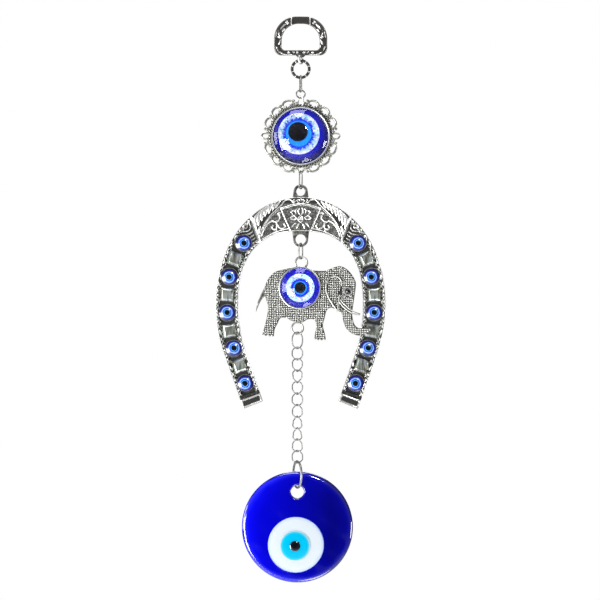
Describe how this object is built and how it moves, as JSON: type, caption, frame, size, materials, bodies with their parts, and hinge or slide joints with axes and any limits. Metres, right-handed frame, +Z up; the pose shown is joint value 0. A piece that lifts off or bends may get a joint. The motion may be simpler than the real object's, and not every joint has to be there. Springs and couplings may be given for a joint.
{
  "type": "evil eye hanging ornament",
  "caption": "Hanging lucky charm in antique silver: D-ring, eye rosette, horseshoe set with eye beads and square stones, elephant, curb chain and cobalt glass eye disc.",
  "frame": {"origin": "middle of the underside of the hanger's top bar, where the hook or nail bears", "axes": "+Z up along the ornament, front faces -Y, +X to the right seen from the front"},
  "size_m": [0.0766, 0.0124, 0.2546],
  "materials": {
    "antique_silver": "cast white metal with antique silver plate, blackened in the hollows and rubbed bright on the edges",
    "bright_silver": "silver plated steel wire",
    "printed_eye": "glitter print of an eye in rings of cobalt, white and blue",
    "clear_glass": "polished clear glass cabochon",
    "eye_enamel": "glossy domed bead with a painted eye",
    "mirror_stone": "foil-backed table-cut stone, grey, mirror bright",
    "cobalt_glass": "deep cobalt fused glass, slightly see-through, fire polished",
    "white_glass": "opaque white fused glass",
    "cyan_glass": "opaque light blue fused glass",
    "black_stone": "glossy black glass"
  },
  "bodies": {
    "hanger": {"hanger_frame": "antique_silver"},
    "hanger_ring": {"hanger_ring": "antique_silver"},
    "upper_link": {"upper_link": "bright_silver"},
    "rosette_ring": {"rosette_ring": "bright_silver"},
    "rosette": {"rosette_frame": "antique_silver", "rosette_print": "printed_eye", "rosette_glass": "clear_glass"},
    "crown_link": {"crown_link": "bright_silver"},
    "horseshoe": {"horseshoe_casting": "antique_silver", "eye_bead_left_1": "eye_enamel", "eye_bead_left_2": "eye_enamel", "eye_bead_left_3": "eye_enamel", "eye_bead_left_4": "eye_enamel", "eye_bead_left_5": "eye_enamel", "eye_bead_right_1": "eye_enamel", "eye_bead_right_2": "eye_enamel", "eye_bead_right_3": "eye_enamel", "eye_bead_right_4": "eye_enamel", "eye_bead_right_5": "eye_enamel", "square_stone_left_1": "mirror_stone", "square_stone_left_2": "mirror_stone", "square_stone_left_3": "mirror_stone", "square_stone_left_4": "mirror_stone", "square_stone_right_1": "mirror_stone", "square_stone_right_2": "mirror_stone", "square_stone_right_3": "mirror_stone", "square_stone_right_4": "mirror_stone"},
    "elephant_link": {"elephant_link": "bright_silver"},
    "elephant": {"elephant_casting": "antique_silver", "elephant_print": "printed_eye", "elephant_glass": "clear_glass", "elephant_eye_stone": "black_stone"},
    "chain_ring": {"chain_ring": "bright_silver"},
    "chain_link_02": {"chain_link_02": "bright_silver"},
    "chain_link_03": {"chain_link_03": "bright_silver"},
    "chain_link_04": {"chain_link_04": "bright_silver"},
    "chain_link_05": {"chain_link_05": "bright_silver"},
    "chain_link_06": {"chain_link_06": "bright_silver"},
    "chain_link_07": {"chain_link_07": "bright_silver"},
    "chain_link_08": {"chain_link_08": "bright_silver"},
    "chain_link_09": {"chain_link_09": "bright_silver"},
    "chain_link_10": {"chain_link_10": "bright_silver"},
    "chain_link_11": {"chain_link_11": "bright_silver"},
    "disc_ring": {"disc_ring": "bright_silver"},
    "disc": {"glass_disc": "cobalt_glass", "white_glass_drop": "white_glass", "cyan_glass_drop": "cyan_glass", "black_glass_drop": "black_stone"}
  },
  "joints": [
    {"name": "hanger_ring_swing", "type": "hinge", "parent": "hanger", "child": "hanger_ring", "pos_m": [0, 0, -0.0178], "axis": [0.4226, 0.9063, 0], "range_deg": [-35, 35]},
    {"name": "upper_link_swing", "type": "hinge", "parent": "hanger_ring", "child": "upper_link", "pos_m": [0, 0, -0.02422], "axis": [1, 0, 0], "range_deg": [-30, 30]},
    {"name": "rosette_ring_swing", "type": "hinge", "parent": "upper_link", "child": "rosette_ring", "pos_m": [0, 0, -0.03066], "axis": [0.4067, -0.9135, 0], "range_deg": [-30, 30]},
    {"name": "rosette_swing", "type": "hinge", "parent": "rosette_ring", "child": "rosette", "pos_m": [0, 0, -0.03341], "axis": [-0.9063, -0.4226, 0], "range_deg": [-30, 30]},
    {"name": "crown_link_swing", "type": "hinge", "parent": "rosette", "child": "crown_link", "pos_m": [0, 0, -0.06619], "axis": [0.1392, 0.9903, 0], "range_deg": [-25, 25]},
    {"name": "horseshoe_swing", "type": "hinge", "parent": "crown_link", "child": "horseshoe", "pos_m": [0, 0, -0.07293], "axis": [1, 0, 0], "range_deg": [-20, 20]},
    {"name": "elephant_link_swing", "type": "hinge", "parent": "horseshoe", "child": "elephant_link", "pos_m": [0, 0, -0.09873], "axis": [-0.2756, -0.9613, 0], "range_deg": [-6, 6]},
    {"name": "elephant_swing", "type": "hinge", "parent": "elephant_link", "child": "elephant", "pos_m": [0.0003, 0, -0.10487], "axis": [-0.9903, 0.1392, 0], "range_deg": [0, 35]},
    {"name": "chain_ring_swing", "type": "hinge", "parent": "elephant", "child": "chain_ring", "pos_m": [-0.00148, 0.00025, -0.13957], "axis": [0.9903, -0.1392, 0], "range_deg": [-40, 40]},
    {"name": "chain_link_02_swing", "type": "hinge", "parent": "chain_ring", "child": "chain_link_02", "pos_m": [-0.00148, 0.00025, -0.14549], "axis": [0.7547, -0.6561, 0], "range_deg": [-30, 30]},
    {"name": "chain_link_03_swing", "type": "hinge", "parent": "chain_link_02", "child": "chain_link_03", "pos_m": [-0.00148, 0.00025, -0.15127], "axis": [0.6561, 0.7547, 0], "range_deg": [-30, 30]},
    {"name": "chain_link_04_swing", "type": "hinge", "parent": "chain_link_03", "child": "chain_link_04", "pos_m": [-0.00148, 0.00025, -0.15581], "axis": [-0.9816, 0.1908, 0], "range_deg": [-30, 30]},
    {"name": "chain_link_05_swing", "type": "hinge", "parent": "chain_link_04", "child": "chain_link_05", "pos_m": [-0.00148, 0.00025, -0.16159], "axis": [-0.1908, -0.9816, 0], "range_deg": [-30, 30]},
    {"name": "chain_link_06_swing", "type": "hinge", "parent": "chain_link_05", "child": "chain_link_06", "pos_m": [-0.00148, 0.00025, -0.16613], "axis": [0.6561, -0.7547, 0], "range_deg": [-30, 30]},
    {"name": "chain_link_07_swing", "type": "hinge", "parent": "chain_link_06", "child": "chain_link_07", "pos_m": [-0.00148, 0.00025, -0.17191], "axis": [0.7547, 0.6561, 0], "range_deg": [-30, 30]},
    {"name": "chain_link_08_swing", "type": "hinge", "parent": "chain_link_07", "child": "chain_link_08", "pos_m": [-0.00148, 0.00025, -0.17645], "axis": [-0.1219, 0.9925, 0], "range_deg": [-30, 30]},
    {"name": "chain_link_09_swing", "type": "hinge", "parent": "chain_link_08", "child": "chain_link_09", "pos_m": [-0.00148, 0.00025, -0.18223], "axis": [-0.9925, -0.1219, 0], "range_deg": [-30, 30]},
    {"name": "chain_link_10_swing", "type": "hinge", "parent": "chain_link_09", "child": "chain_link_10", "pos_m": [-0.00148, 0.00025, -0.18677], "axis": [0.3584, -0.9336, 0], "range_deg": [-30, 30]},
    {"name": "chain_link_11_swing", "type": "hinge", "parent": "chain_link_10", "child": "chain_link_11", "pos_m": [-0.00148, 0.00025, -0.19255], "axis": [0.9336, 0.3584, 0], "range_deg": [-30, 30]},
    {"name": "disc_ring_swing", "type": "hinge", "parent": "chain_link_11", "child": "disc_ring", "pos_m": [-0.00148, 0.00025, -0.19771], "axis": [-0.7771, -0.6293, 0], "range_deg": [-35, 35]},
    {"name": "disc_swing", "type": "hinge", "parent": "disc_ring", "child": "disc", "pos_m": [-0.00148, 0.00025, -0.20876], "axis": [-0.309, 0.9511, 0], "range_deg": [-35, 35]}
  ]
}
